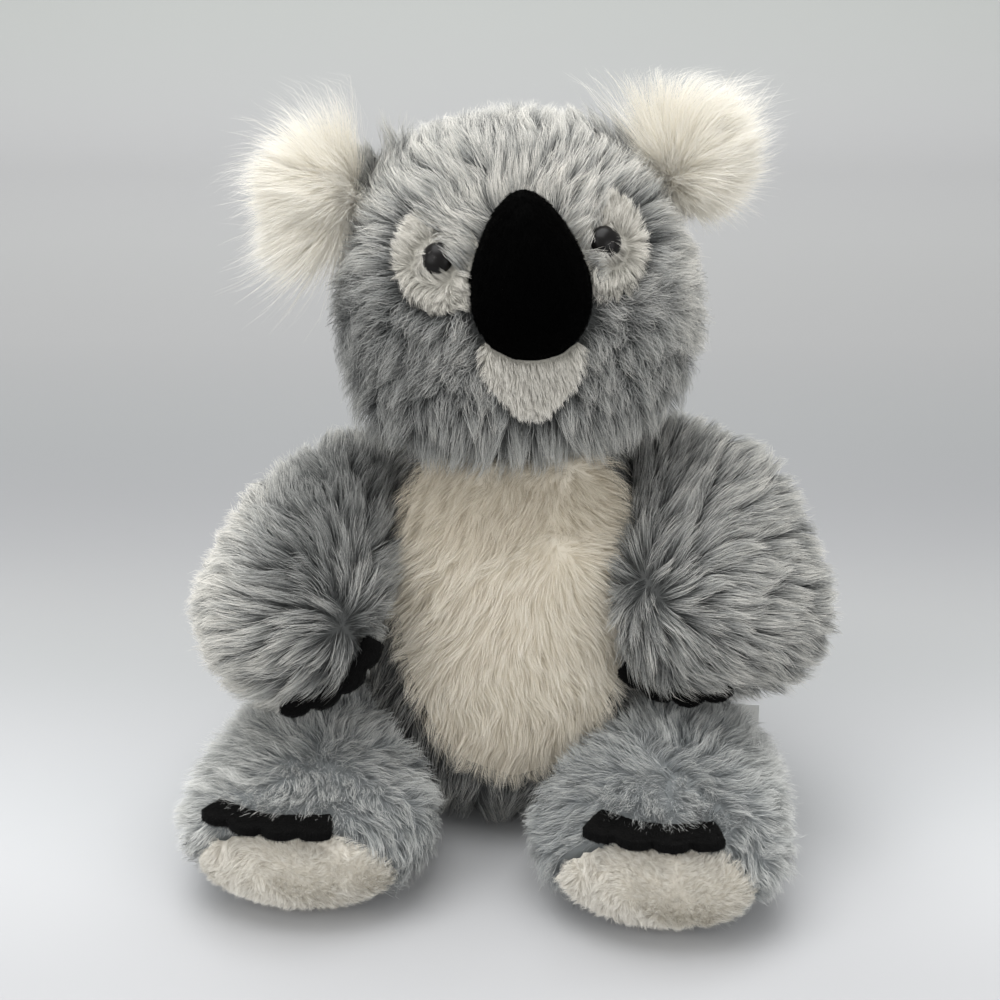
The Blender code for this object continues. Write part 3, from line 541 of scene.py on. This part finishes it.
SIDES = {"left": 1, "right": -1}
FACE_CENTRE = (3, -52, 200)
NOSE_TOP = (4, -56, 202)
NOSE_MIDDLE = (4, -56, 200)
EYE_AT = {"left": (26.8, -44, 209), "right": (-24, -47, 205)}
EYE_HIDE = {"left": -4.6, "right": -4.4}  # how far grey tips pass the eye's middle
EYE_CLEAR = {"left": 3.0, "right": 4.8}  # from the eye's middle to the edge of the brow
BROW = {"left": (-1, 0, 0.1), "right": (0.8, 0, 0.6)}  # way from eye to brow
EAR_BASE = {"left": (34, -1, 235), "right": (-37, -6, 229)}
EAR_CREASE_SHADE = {"left": (36, -9, 229), "right": (-33, -15, 225)}  # painted shade in the crease beside each ear
TUFT_ROOT = {"left": (41, 2, 213), "right": (-41, -5, 212)}
TUFT_REACH = {"left": (0.2, 0.85, 0.8), "right": (0.28, 1.1, 1.6)}  # shares level, up and down
CHIN_MIDDLE = 4.9
CHIN_RISES = (158, 160.5, 165, 171, 176)
CHIN_HALF_WIDTHS = (0.5, 4, 7.5, 13, 15)
WHORL = {"left": (25, -74, 104), "right": (-47, -80, 96)}  # on each paw
# How far out the head's painted shadow reaches on each arm, how dark it is there, and how much paler
# the painted rim light makes it farther out
UNDER_HEAD = {"left": (72, 0.3, 0.02), "right": (90, 0.58, 0.34)}
TUCK = {"left": (49, -84, 58), "right": (-63, -69, 47)}  # on each leg


# Lay of the pile, form by form

def away_from(point, sag=0.0):
    """Pile that lies away from a point, less strictly close to it, with a pull towards the floor."""
    def lay(points, up):
        away = points - mm(*point)
        firm = 0.25 + 0.75 * fade(np.linalg.norm(away, axis=1), 2 * MM, 14 * MM)
        return unit(away) * firm[:, None] + np.array([0, 0, -sag])
    return lay


def bump(points, centre, radius):
    """1 at a centre, falling smoothly to 0 about two radii away."""
    far = np.linalg.norm(points - mm(*centre), axis=1) / (radius * MM)
    return np.exp(-far ** 2 / 2)


def head_lay(points, up):
    """Out from the nose, down at the chin and the back, up at the ears."""
    way = unit(points - mm(*FACE_CENTRE))
    low = fade(points[:, 2], 205 * MM, 165 * MM)
    back = fade(points[:, 1], -5 * MM, 30 * MM)
    way[:, 2] -= 0.75 * low + 1.3 * back
    way[:, 0] *= 1 - 0.35 * low
    for side, sign in SIDES.items():
        rim = bump(points, EAR_BASE[side], 9)
        way += rim[:, None] * np.array([sign * 0.2, 0, 2.5])
    return way


def head_tone(points, up):
    """Pale forehead and darker cheeks, with painted light on the side of the head towards plus x and
    painted shade on the cheek towards minus x and in the creases beside the ears.
    """
    high = fade(points[:, 2], 200 * MM, 232 * MM) * fade(points[:, 1], 10 * MM, -20 * MM)
    cheek = fade(points[:, 2], 206 * MM, 190 * MM)
    left = fade(points[:, 0], -8 * MM, -34 * MM) * cheek
    right = fade(points[:, 0], 38 * MM, 52 * MM) * fade(points[:, 2], 166 * MM, 180 * MM)
    by_nose = fade(np.linalg.norm(points - mm(*NOSE_TOP), axis=1), 38 * MM, 24 * MM) * (1 - cheek)
    crease_shade = sum(bump(points, EAR_CREASE_SHADE[side], 4) for side in SIDES)
    # The left term paints shade on the cheek towards minus x, the right term paints light on the side
    # towards plus x, and the creases beside the ears get painted shade.
    return 0.45 + 0.22 * high - 0.17 * left - 0.09 * cheek + 0.36 * right + 0.24 * by_nose - 0.3 * crease_shade


def head_sizes(points, up):
    """Longer under the chin and round the ears, shorter beside the nose."""
    low = fade(points[:, 2], 172 * MM, 152 * MM) * fade(points[:, 1], 10 * MM, -20 * MM)
    cheek = fade(points[:, 2], 208 * MM, 196 * MM) * (1 - low) * fade(points[:, 1], 0, -20 * MM)
    nose = np.linalg.norm((points - mm(*NOSE_MIDDLE)) * [1, 1, 0.7], axis=1)
    size = (1 + 0.6 * low - 0.3 * cheek) * (0.85 + 0.15 * fade(nose, 22 * MM, 40 * MM))
    for side in SIDES:
        gap = np.linalg.norm(points - mm(*EYE_AT[side]), axis=1)
        close = np.maximum(gap + EYE_HIDE[side] * MM, 2 * MM) / (11 * MM)
        close = close + fade(gap, 14 * MM, 22 * MM)
        size = np.minimum(size, close) + 1.1 * bump(points, EAR_BASE[side], 7)
    return size


def head_cling(points, up):
    """Free under the chin and at the ears, close to the form elsewhere."""
    free = 0.75 * fade(points[:, 2], 176 * MM, 156 * MM) * fade(points[:, 1], 20 * MM, -20 * MM)
    for side in SIDES:
        free = np.maximum(free, bump(points, EAR_BASE[side], 7))
    return 1 - free


def head_curl(points):
    """Curly cheeks, almost straight pile elsewhere."""
    cheek = fade(points[:, 2], 206 * MM, 192 * MM) * fade(points[:, 2], 160 * MM, 172 * MM)
    return 0.3 + 0.8 * cheek


def over_patches(points):
    """Where the grey pile grows over the pale patches: beside the nose and down the chin's edges."""
    over = np.zeros(len(points), bool)
    sideways = points[:, 0] - CHIN_MIDDLE * MM
    for side, sign in SIDES.items():
        own = (sideways * sign > 0) & (points[:, 2] > 188 * MM)
        inward = unit(np.array(BROW[side], float))
        over |= own & ((points - mm(*EYE_AT[side])) @ inward > EYE_CLEAR[side] * MM)
    edge = np.interp(points[:, 2], np.array(CHIN_RISES) * MM, np.array(CHIN_HALF_WIDTHS) * MM)
    return over | ((np.abs(sideways) > edge) & (points[:, 2] < 186 * MM))


def off_brow(points, outward):
    """Where the patches' own pile shows."""
    return ~over_patches(points)


def patch_lay(side):
    """Short pile that leans over the eye's rim and away from it farther out."""
    eye = mm(*EYE_AT[side])
    def lay(points, up):
        gap = np.linalg.norm(points - eye, axis=1)
        return unit(points - eye) * (1 - 2 * fade(gap, 8.5 * MM, 6.5 * MM))[:, None]
    return lay


def patch_tone(side):
    """Painted shade at the lower outer rim."""
    eye = mm(*EYE_AT[side])
    def tone(points, up):
        outer = fade((points - eye) @ unit(np.array([SIDES[side], 0, -1.2])), 2 * MM, 12 * MM)
        # The outer term paints shade at the lower outer rim.
        return 0.42 - 0.45 * outer
    return tone


def patch_sizes(side):
    """Longest round the eye, where it leans over the glass."""
    eye = mm(*EYE_AT[side])
    def sizes(points, up):
        gap = np.linalg.norm(points - eye, axis=1)
        return 0.9 + 1.1 * fade(gap, 10 * MM, 7 * MM)
    return sizes


def belly_lay(points, up):
    """Down, and parted sideways near the top."""
    way = np.zeros_like(points)
    high = fade(points[:, 2], 88 * MM, 104 * MM)
    right = fade(points[:, 0], 4 * MM, 26 * MM)
    way[:, 2] = -1.0 + 0.45 * high * right
    way[:, 0] = points[:, 0] / (60 * MM) * (1 - high) + high * (-0.55 + 1.5 * right)
    return way


def belly_tone(points, up):
    """Painted shadow of the head under the chin, a soiled spot by the right arm, a little darker at
    the bottom.
    """
    soil = 0.45 * bump(points, (-33, -50, 96), 5) + 0.2 * bump(points, (-30, -52, 102), 7)
    low = fade(points[:, 2], 66 * MM, 45 * MM)
    # The fade from 104 to 128 mm up paints the head's shadow over the top of the belly.
    return 0.42 - soil - 0.9 * fade(points[:, 2], 104 * MM, 128 * MM) - 0.15 * low


def torso_lay(points, up):
    """Down and a little outwards."""
    way = np.zeros_like(points)
    way[:, 2] = -1.0
    way[:, 0] = points[:, 0] / (120 * MM)
    return way


def arm_tone(side):
    """Dark round the whorl, with painted shadow under the head and painted rim light outside."""
    def tone(points, up):
        whorl = bump(points, WHORL[side], 22)
        wide, shadow_depth, pale = UNDER_HEAD[side]
        across = np.abs(points[:, 0])
        inner = fade(across, wide * MM, (wide - 30) * MM) * fade(points[:, 2], 95 * MM, 120 * MM)
        inner = inner * fade(points[:, 1], 0, -25 * MM)
        outer = fade(across, 55 * MM, 88 * MM)
        # The depth times inner term paints the head's shadow; pale times outer paints rim light.
        return 0.45 - 0.12 * whorl - shadow_depth * inner + pale * outer * (1 - inner)
    return tone


def leg_tone(points, up):
    """Pale outside and round the tuck."""
    outer = fade(np.abs(points[:, 0]), 62 * MM, 95 * MM)
    middle = bump(points, TUCK["left"], 20) + bump(points, TUCK["right"], 20)
    return 0.53 - 0.06 * np.sign(points[:, 0]) + 0.62 * outer + 0.1 * middle


def leg_cling(side):
    """Pile that stands free over the claws and close to the form elsewhere."""
    tree = tree_of([f"foot_claws_{side}"])
    def cling(points, up):
        gap = np.array([tree.find_nearest(point)[3] for point in points])
        return fade(gap, 4 * MM, 11 * MM) * 0.9 + 0.1
    return cling


def leg_sizes(side):
    """Short beside the sole, long over the claws."""
    by_sole = shy_of([f"sole_{side}"], 0.5, 1, 5)
    claws = tree_of([f"foot_claws_{side}"])
    def sizes(points, up):
        gap = np.array([claws.find_nearest(point)[3] for point in points])
        return by_sole(points, up) + 0.9 * fade(gap, 9 * MM, 4 * MM) * (points[:, 2] > 43 * MM)
    return sizes


def shy_of(names, least, near, far):
    """Shorter pile close to the named nodes."""
    tree = tree_of(names)
    def sizes(points, up):
        gap = np.array([tree.find_nearest(point)[3] for point in points])
        return least + (1 - least) * fade(gap, near * MM, far * MM)
    return sizes


def sole_lay(side):
    """Out to the rim, with a slow turn round the sole."""
    low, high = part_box(f"sole_{side}")
    centre = (np.array(low) + np.array(high)) / 2
    def lay(points, up):
        out = unit(points - centre)
        return out * 0.8 + np.cross(up, out) * 0.6
    return lay


def sole_sizes(side):
    """Longest at the rim."""
    low, high = (np.array(corner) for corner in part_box(f"sole_{side}"))
    def sizes(points, up):
        away = (points - (low + high) / 2) / (high - low) * 2
        return 1 + 0.8 * fade(np.hypot(away[:, 0], away[:, 2]), 0.65, 1.0)
    return sizes


def ear_lay(side):
    """Up beside the head, out along the rim."""
    root = mm(*TUFT_ROOT[side])
    def lay(points, up):
        close = by_head(points, side)[:, None]
        return unit(points - root) * (1 - close) + np.array([-SIDES[side] * 0.2, -0.3, 1.0]) * close
    return lay


def by_head(points, side, reach=9):
    """1 at the ear's inner edge, 0 farther out than the reach."""
    inner = min(abs(corner[0]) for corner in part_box(f"ear_{side}"))
    return fade(np.abs(points[:, 0]) - inner, reach * MM, reach * MM / 3)


def ear_sizes(side):
    """Longest beside the head."""
    def sizes(points, up):
        return 0.4 + 1.0 * by_head(points, side)
    return sizes


def tuft_lay(side):
    """Away from the ear's inner corner, up beside the head."""
    root = mm(*TUFT_ROOT[side])
    def lay(points, up):
        way = unit(points - root)
        high = fade(points[:, 2] - root[2], 6 * MM, 20 * MM) * by_head(points, side, 24)
        way[:, 0] = way[:, 0] * (1 - high) - SIDES[side] * 0.35 * high
        return way
    return lay


def tuft_sizes(side):
    """Longer strands up and down than sideways, longest up beside the head."""
    root = mm(*TUFT_ROOT[side])
    level, above, below = TUFT_REACH[side]
    def sizes(points, up):
        rise = unit(points - root)[:, 2]
        size = level + (above - level) * np.clip(rise, 0, 1) + (below - level) * np.clip(-rise, 0, 1)
        return size * (1 + 0.7 * by_head(points, side, 24) * np.clip(rise, 0, 1))
    return sizes


def front_half(points):
    """The head's pile is two meshes, so that neither grows too large."""
    return points[:, 1] < -14 * MM


def faces_front(points, facing):
    """More pile where it is looked at most."""
    return 0.5 + 1.0 * np.clip(-facing[:, 1] * 0.8 + facing[:, 2] * 0.5, 0, 1)


def dress():
    """Every soft form with its pile."""
    patches = ["chin_patch", "eye_patch_left", "eye_patch_right"]
    limbs = ["arm_left", "arm_right", "leg_left", "leg_right"]
    pile("head_pile", "head", "head", GREY, head_lay, count=78000, length=12, rise=6.2,
         inward=1.2, seed=11, width=0.19, density=faces_front, bare=["nose"], clear=2.5,
         near=["nose", "torso", "belly_panel"], under=patches, through=over_patches,
         halves=front_half, sizes=head_sizes, cling=head_cling, gather=0.6, clump=0.7, per_clump=30,
         curl=head_curl, tone=head_tone, streaks=0.12, mixed=0.1)
    pile("torso_pile", "torso", "torso", GREY, torso_lay, count=36000, length=12, rise=6,
         inward=1.2, seed=12, bare=["belly_panel"], near=["head"] + limbs, gather=0.35, clump=0.5,
         per_clump=18, mixed=0.14)
    pile("belly_pile", "belly_panel", "torso", CREAM, belly_lay, count=39500,
         length=9.5, rise=5.2, inward=0.8, seed=13, voxel=2.0, width=0.14, skin_tone=(0.5, 0.3),
         bare=["torso"], near=["head"] + limbs, unruly=0.5, gather=0.12, clump=0.25, per_clump=12,
         frizz=1.3, tone=belly_tone, streaks=0.0, mixed=0.09)
    for number, side in enumerate(SIDES):
        seed = 20 + 20 * number
        pile(f"arm_{side}_pile", f"arm_{side}", f"arm_{side}", GREY,
             away_from(WHORL[side], 0.15), count=38000, length=13, rise=6.2, inward=1.2, seed=seed,
             width=0.21, density=faces_front, near=["torso", "head", f"leg_{side}"],
             sizes=shy_of([f"hand_claws_{side}"], 0.85, 1, 8), unruly=0.25, gather=0.6, clump=0.7,
             per_clump=36, tone=arm_tone(side), streaks=0.16, mixed=0.14)
        pile(f"leg_{side}_pile", f"leg_{side}", f"leg_{side}", SHORT_GREY,
             away_from(TUCK[side], 0.3), count=39000, length=6.5, rise=5.2, inward=1.2,
             seed=seed + 1, skin_tone=(0.45, 0.22), density=faces_front, bare=[f"sole_{side}"],
             near=["torso", "belly_panel", f"arm_{side}"], sizes=leg_sizes(side),
             cling=leg_cling(side), unruly=0.65, gather=0.35, clump=0.5, per_clump=18, frizz=1.3,
             tone=leg_tone, mixed=0.1)
        pile(f"sole_{side}_pile", f"sole_{side}", f"leg_{side}", WHITE,
             sole_lay(side), count=36000, length=2.5, rise=2.5, inward=0.4, seed=seed + 2,
             voxel=1.6, width=0.14, skin_tone=(0.45, 0.32), bare=[f"leg_{side}"],
             sizes=sole_sizes(side), unruly=0.8, clump=0.6, per_clump=14, frizz=0.6)
        pile(f"ear_{side}_pile", f"ear_{side}", f"ear_{side}", GREY, ear_lay(side),
             count=14000, length=11, rise=4, inward=0.6, seed=seed + 3, voxel=1.4,
             skin_tone=(0.45, 0.3), bare=[f"ear_tuft_{side}"], near=["head"],
             sizes=ear_sizes(side), cling=0.6)
        pile(f"ear_tuft_{side}_pile", f"ear_tuft_{side}", f"ear_{side}", TUFT,
             tuft_lay(side), count=39500, length=24, rise=6, inward=0.8, seed=seed + 4, voxel=1.4,
             width=0.11, bare=[f"ear_{side}"], near=["head"], sizes=tuft_sizes(side), cling=0.2,
             lean=0.9, gather=0.25, clump=0.4, per_clump=12, spread=0.9, strays=0.12, frizz=2.6,
             streaks=0.0, airy=0.7)
        pile(f"eye_patch_{side}_pile", f"eye_patch_{side}", "head", SHADED_PATCH,
             patch_lay(side), count=16000, length=3.6, rise=3.4, inward=0.2, seed=seed + 5,
             voxel=0.8, passes=2, width=0.14, bare=["head", f"eye_{side}"], keep=off_brow,
             sizes=patch_sizes(side), unruly=0.5, clump=0.6, per_clump=12, frizz=0.6,
             tone=patch_tone(side))
    pile("chin_patch_pile", "chin_patch", "head", SHADED_PATCH,
         away_from((4, -62, 230), 1.0), count=14000, length=3.2, rise=3.0, inward=0.2, seed=14,
         voxel=0.8, passes=2, width=0.15, bare=["head", "nose"], keep=off_brow, clump=0.4,
         per_clump=9, frizz=0.4)
    pile("nose_velvet", "nose", "head", VELVET, away_from((4, -50, 240), 0.5),
         count=22000, length=1.0, rise=0.6, inward=0.0, seed=15, voxel=0.9, passes=6, steps=2,
         width=0.16, bare=["head"], clump=0.3, per_clump=6, frizz=0.15)
    for number, side in enumerate(SIDES):
        for seed, place, body in ((16, "hand", "arm"), (17, "foot", "leg")):
            pile(f"{place}_claws_{side}_felt", f"{place}_claws_{side}", f"{body}_{side}", FELT,
                 away_from((0, 0, 100), 0.3), count=7000, length=1.2, rise=0.5,
                 inward=0.1, seed=seed + 20 * number, voxel=0.7, steps=2, width=0.14,
                 clump=0.3, per_clump=4, frizz=0.3)


def smooth_copy(node, name, body, material, levels):
    """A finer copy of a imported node."""
    piece = bpy.data.objects.new(name, NODES[node].data.copy())
    bpy.context.scene.collection.objects.link(piece)
    weld = piece.modifiers.new("weld", "WELD")
    weld.merge_threshold = 0.01 * MM
    fine = piece.modifiers.new("fine", "SUBSURF")
    fine.levels = levels
    fine.render_levels = levels
    graph = bpy.context.evaluated_depsgraph_get()
    mesh = bpy.data.meshes.new_from_object(piece.evaluated_get(graph))
    piece.modifiers.clear()
    piece.data = mesh
    mesh.materials.clear()
    mesh.materials.append(material)
    mesh.polygons.foreach_set("use_smooth", np.ones(len(mesh.polygons), bool))
    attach(piece, body)
    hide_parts(node)


def mottled(name, low, high, scale, roughness, specular=0.5):
    """A nearly even colour, with a fine slow change from low to high."""
    material, tree, shader = principled(name)
    noise = tree.nodes.new("ShaderNodeTexNoise")
    noise.inputs["Scale"].default_value = scale
    coloured(tree, shader, noise.outputs["Fac"], [(0.0, low), (1.0, high)])
    shader.inputs["Roughness"].default_value = roughness
    shader.inputs["Specular IOR Level"].default_value = specular
    return material


def trim():
    """Eyes, washers and label."""
    glass = mottled("gloss_black", (8, 7, 7), (14, 12, 11), 300, 0.3, 0.2)
    for side in SIDES:
        smooth_copy(f"eye_{side}", f"eye_{side}_dome", "head", glass, 1)
    nylon = mottled("clear_nylon", (200, 202, 200), (214, 215, 212), 400, 0.35)
    satin = mottled("label_satin", (244, 244, 242), (252, 252, 250), 900, 0.4)
    done = {name: nylon for name in NODES if "washer" in name}
    done["side_label"] = satin
    for name, material in done.items():
        NODES[name].data.materials.clear()
        NODES[name].data.materials.append(material)


# Setting

CAMERA_TILT = math.radians(22)
CAMERA_REACH = 0.620
TARGET = (-0.005, 0.0, 0.108)
SENSOR = 36.0
VIEW_WIDTH = 0.350
SWEEP_NEAR = -3.0
SWEEP_FAR = 1.1
SWEEP_BEND = 0.5
SWEEP_TOP = 3.0
SWEEP_HALF_WIDTH = 3.0
BEND_STEPS = 16
# Painted light and shade on the paper, by distance back and up along the sweep, from PAPER_FROM to
# PAPER_TO in metres
PAPER_LIGHT_AND_SHADE = [(0.082, (179, 180, 182)), (0.108, (193, 194, 196)), (0.132, (187, 189, 191)),
         (0.157, (180, 181, 183)), (0.181, (169, 171, 172)), (0.208, (166, 167, 168)),
         (0.24, (155, 156, 158)), (0.277, (147, 148, 150)), (0.329, (149, 151, 152)),
         (0.404, (158, 158, 159)), (0.536, (172, 173, 173)), (0.721, (187, 187, 189)),
         (0.86, (184, 187, 185))]
PAPER_FROM, PAPER_TO = -0.3, 1.8
LAMP_AIM = (0.0, 0.0, 0.1)
WORLD_COLOUR = (1.0, 0.995, 0.985, 1.0)
WORLD_STRENGTH = 0.68


def paper():
    """Pale paper with painted light and shade, darkening towards the bend."""
    material, tree, shader = principled("sweep_paper")
    place = tree.nodes.new("ShaderNodeTexCoord")
    split = tree.nodes.new("ShaderNodeSeparateXYZ")
    tree.links.new(place.outputs["Object"], split.inputs["Vector"])
    total = tree.nodes.new("ShaderNodeMath")
    total.operation = "ADD"
    tree.links.new(split.outputs["Y"], total.inputs[0])
    tree.links.new(split.outputs["Z"], total.inputs[1])
    reach = tree.nodes.new("ShaderNodeMapRange")
    tree.links.new(total.outputs[0], reach.inputs["Value"])
    reach.inputs["From Min"].default_value = PAPER_FROM
    reach.inputs["From Max"].default_value = PAPER_TO
    # The ramp paints light and shade along the sweep.
    coloured(tree, shader, reach.outputs["Result"], PAPER_LIGHT_AND_SHADE, "B_SPLINE")
    shader.inputs["Roughness"].default_value = 0.9
    shader.inputs["Specular IOR Level"].default_value = 0.1
    return material


def backdrop():
    """A pale seamless sweep: floor, bend and wall."""
    profile = [(SWEEP_NEAR, 0.0), (SWEEP_FAR, 0.0)]
    for step in range(1, BEND_STEPS + 1):
        angle = step / BEND_STEPS * math.pi / 2
        profile.append((SWEEP_FAR + SWEEP_BEND * math.sin(angle),
                        SWEEP_BEND * (1 - math.cos(angle))))
    profile.append((SWEEP_FAR + SWEEP_BEND, SWEEP_TOP))
    points, faces = [], []
    for y, z in profile:
        points += [(-SWEEP_HALF_WIDTH, y, z), (SWEEP_HALF_WIDTH, y, z)]
    for i in range(len(profile) - 1):
        faces.append((2 * i, 2 * i + 1, 2 * i + 3, 2 * i + 2))
    mesh = bpy.data.meshes.new("sweep")
    mesh.from_pydata(points, [], faces)
    mesh.polygons.foreach_set("use_smooth", np.ones(len(mesh.polygons), bool))
    mesh.materials.append(paper())
    sweep = bpy.data.objects.new("sweep", mesh)
    bpy.context.scene.collection.objects.link(sweep)


def lamp(name, place, size, power):
    """A soft rectangular lamp that faces the toy."""
    data = bpy.data.lights.new(name, "AREA")
    data.shape = "RECTANGLE"
    data.size, data.size_y = size
    data.energy = power
    light = bpy.data.objects.new(name, data)
    light.location = place
    way = np.array(LAMP_AIM) - np.array(place)
    flat = math.hypot(way[0], way[1])
    light.rotation_euler = (math.atan2(flat, -way[2]), 0, math.atan2(way[0], -way[1]) + math.pi)
    bpy.context.scene.collection.objects.link(light)


def lights():
    """Lamps and even light from the room."""
    lamp("overhead", (-0.15, 0.05, 1.5), (1.5, 1.3), 25)
    lamp("window", (-1.3, -1.0, 0.9), (1.2, 1.2), 9)
    lamp("fill", (1.2, -1.3, 0.7), (1.2, 1.0), 8)
    world = bpy.data.worlds.new("room")
    bpy.context.scene.world = world
    world.use_nodes = True
    ground = world.node_tree.nodes["Background"]
    ground.inputs["Color"].default_value = WORLD_COLOUR
    ground.inputs["Strength"].default_value = WORLD_STRENGTH


def camera():
    """The photograph's viewpoint."""
    data = bpy.data.cameras.new("viewpoint")
    data.sensor_width = SENSOR
    data.lens = SENSOR * CAMERA_REACH / VIEW_WIDTH
    view = bpy.data.objects.new("viewpoint", data)
    away = (0.0, -math.cos(CAMERA_TILT), math.sin(CAMERA_TILT))
    view.location = [t + a * CAMERA_REACH for t, a in zip(TARGET, away)]
    view.rotation_euler = (math.pi / 2 - CAMERA_TILT, 0, 0)
    bpy.context.scene.collection.objects.link(view)
    bpy.context.scene.camera = view
    bpy.context.scene.view_settings.view_transform = "Standard"


def corners(box):
    """A box as plain lists."""
    return [[float(value) for value in corner] for corner in box]


dress()
trim()
backdrop()
lights()
camera()
